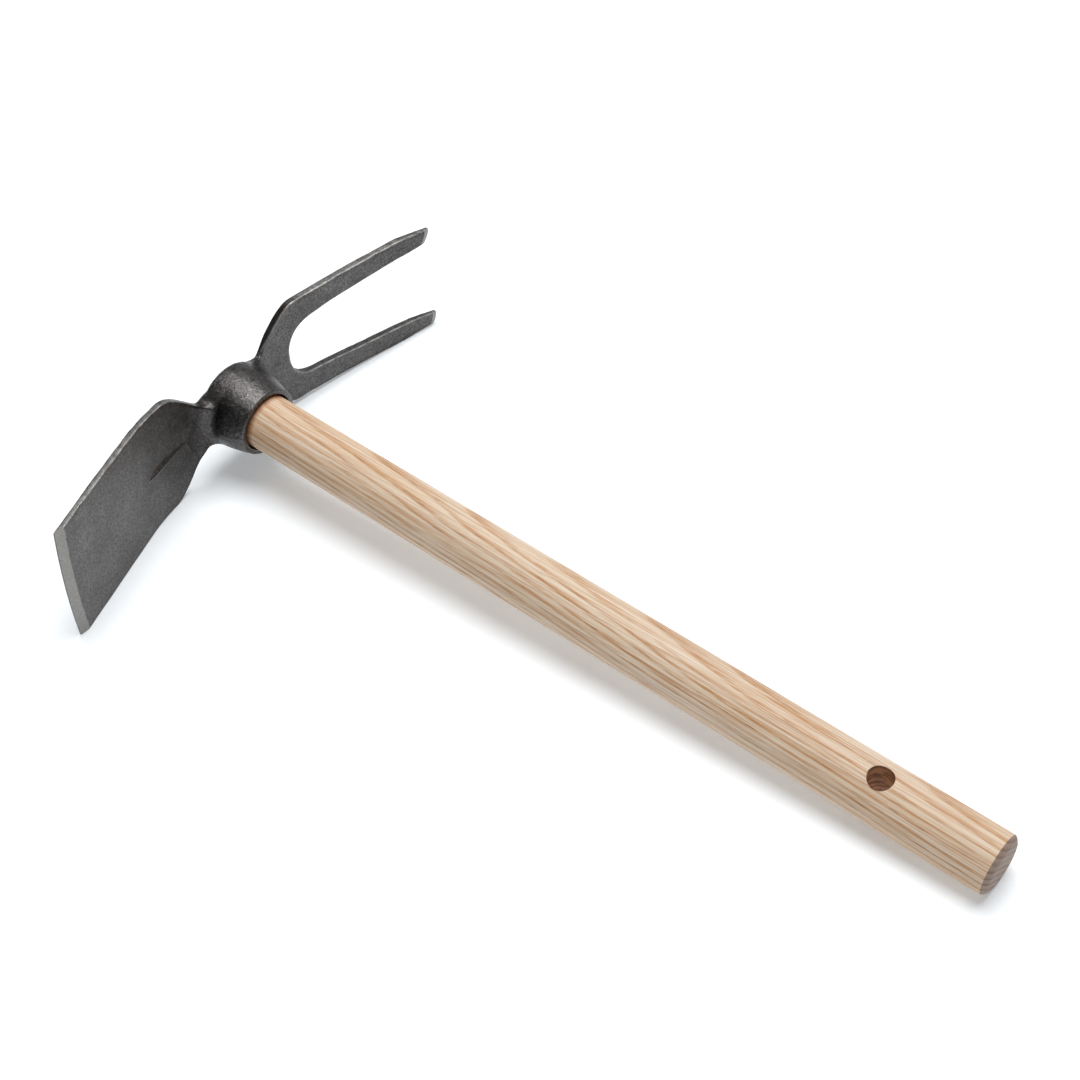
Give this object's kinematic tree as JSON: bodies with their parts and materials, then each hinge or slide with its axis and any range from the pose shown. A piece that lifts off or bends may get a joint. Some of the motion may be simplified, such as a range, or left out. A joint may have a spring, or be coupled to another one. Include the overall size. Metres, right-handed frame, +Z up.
{
  "type": "grub hoe",
  "caption": "Short-handled grub hoe: forged eye with a flat hoe blade on one side and a pronged fork on the other, on a wedged round wooden handle.",
  "frame": {"origin": "on the floor, under the middle of the tool's box, with the tool laid on its side", "axes": "+X along the handle, from the head towards the butt (the handle dips 2.8 degrees towards the butt, because the tool rests on the blade's side, one prong and the butt), +Y towards the fork, +Z up, across the width of the blade"},
  "size_m": [0.4696, 0.2876, 0.0746],
  "materials": {
    "forged_steel": "matte forge scale, dark grey, with ground bevels on the cutting edge and prong tips",
    "ash_wood": "smooth sanded, pale, with fine brown grain",
    "wedge_wood": "sawn",
    "wedge_steel": "dull, hammered top"
  },
  "bodies": {
    "root": {"forged_head": "forged_steel", "ash_handle": "ash_wood", "wood_wedge": "wedge_wood", "steel_wedge": "wedge_steel"}
  },
  "joints": []
}
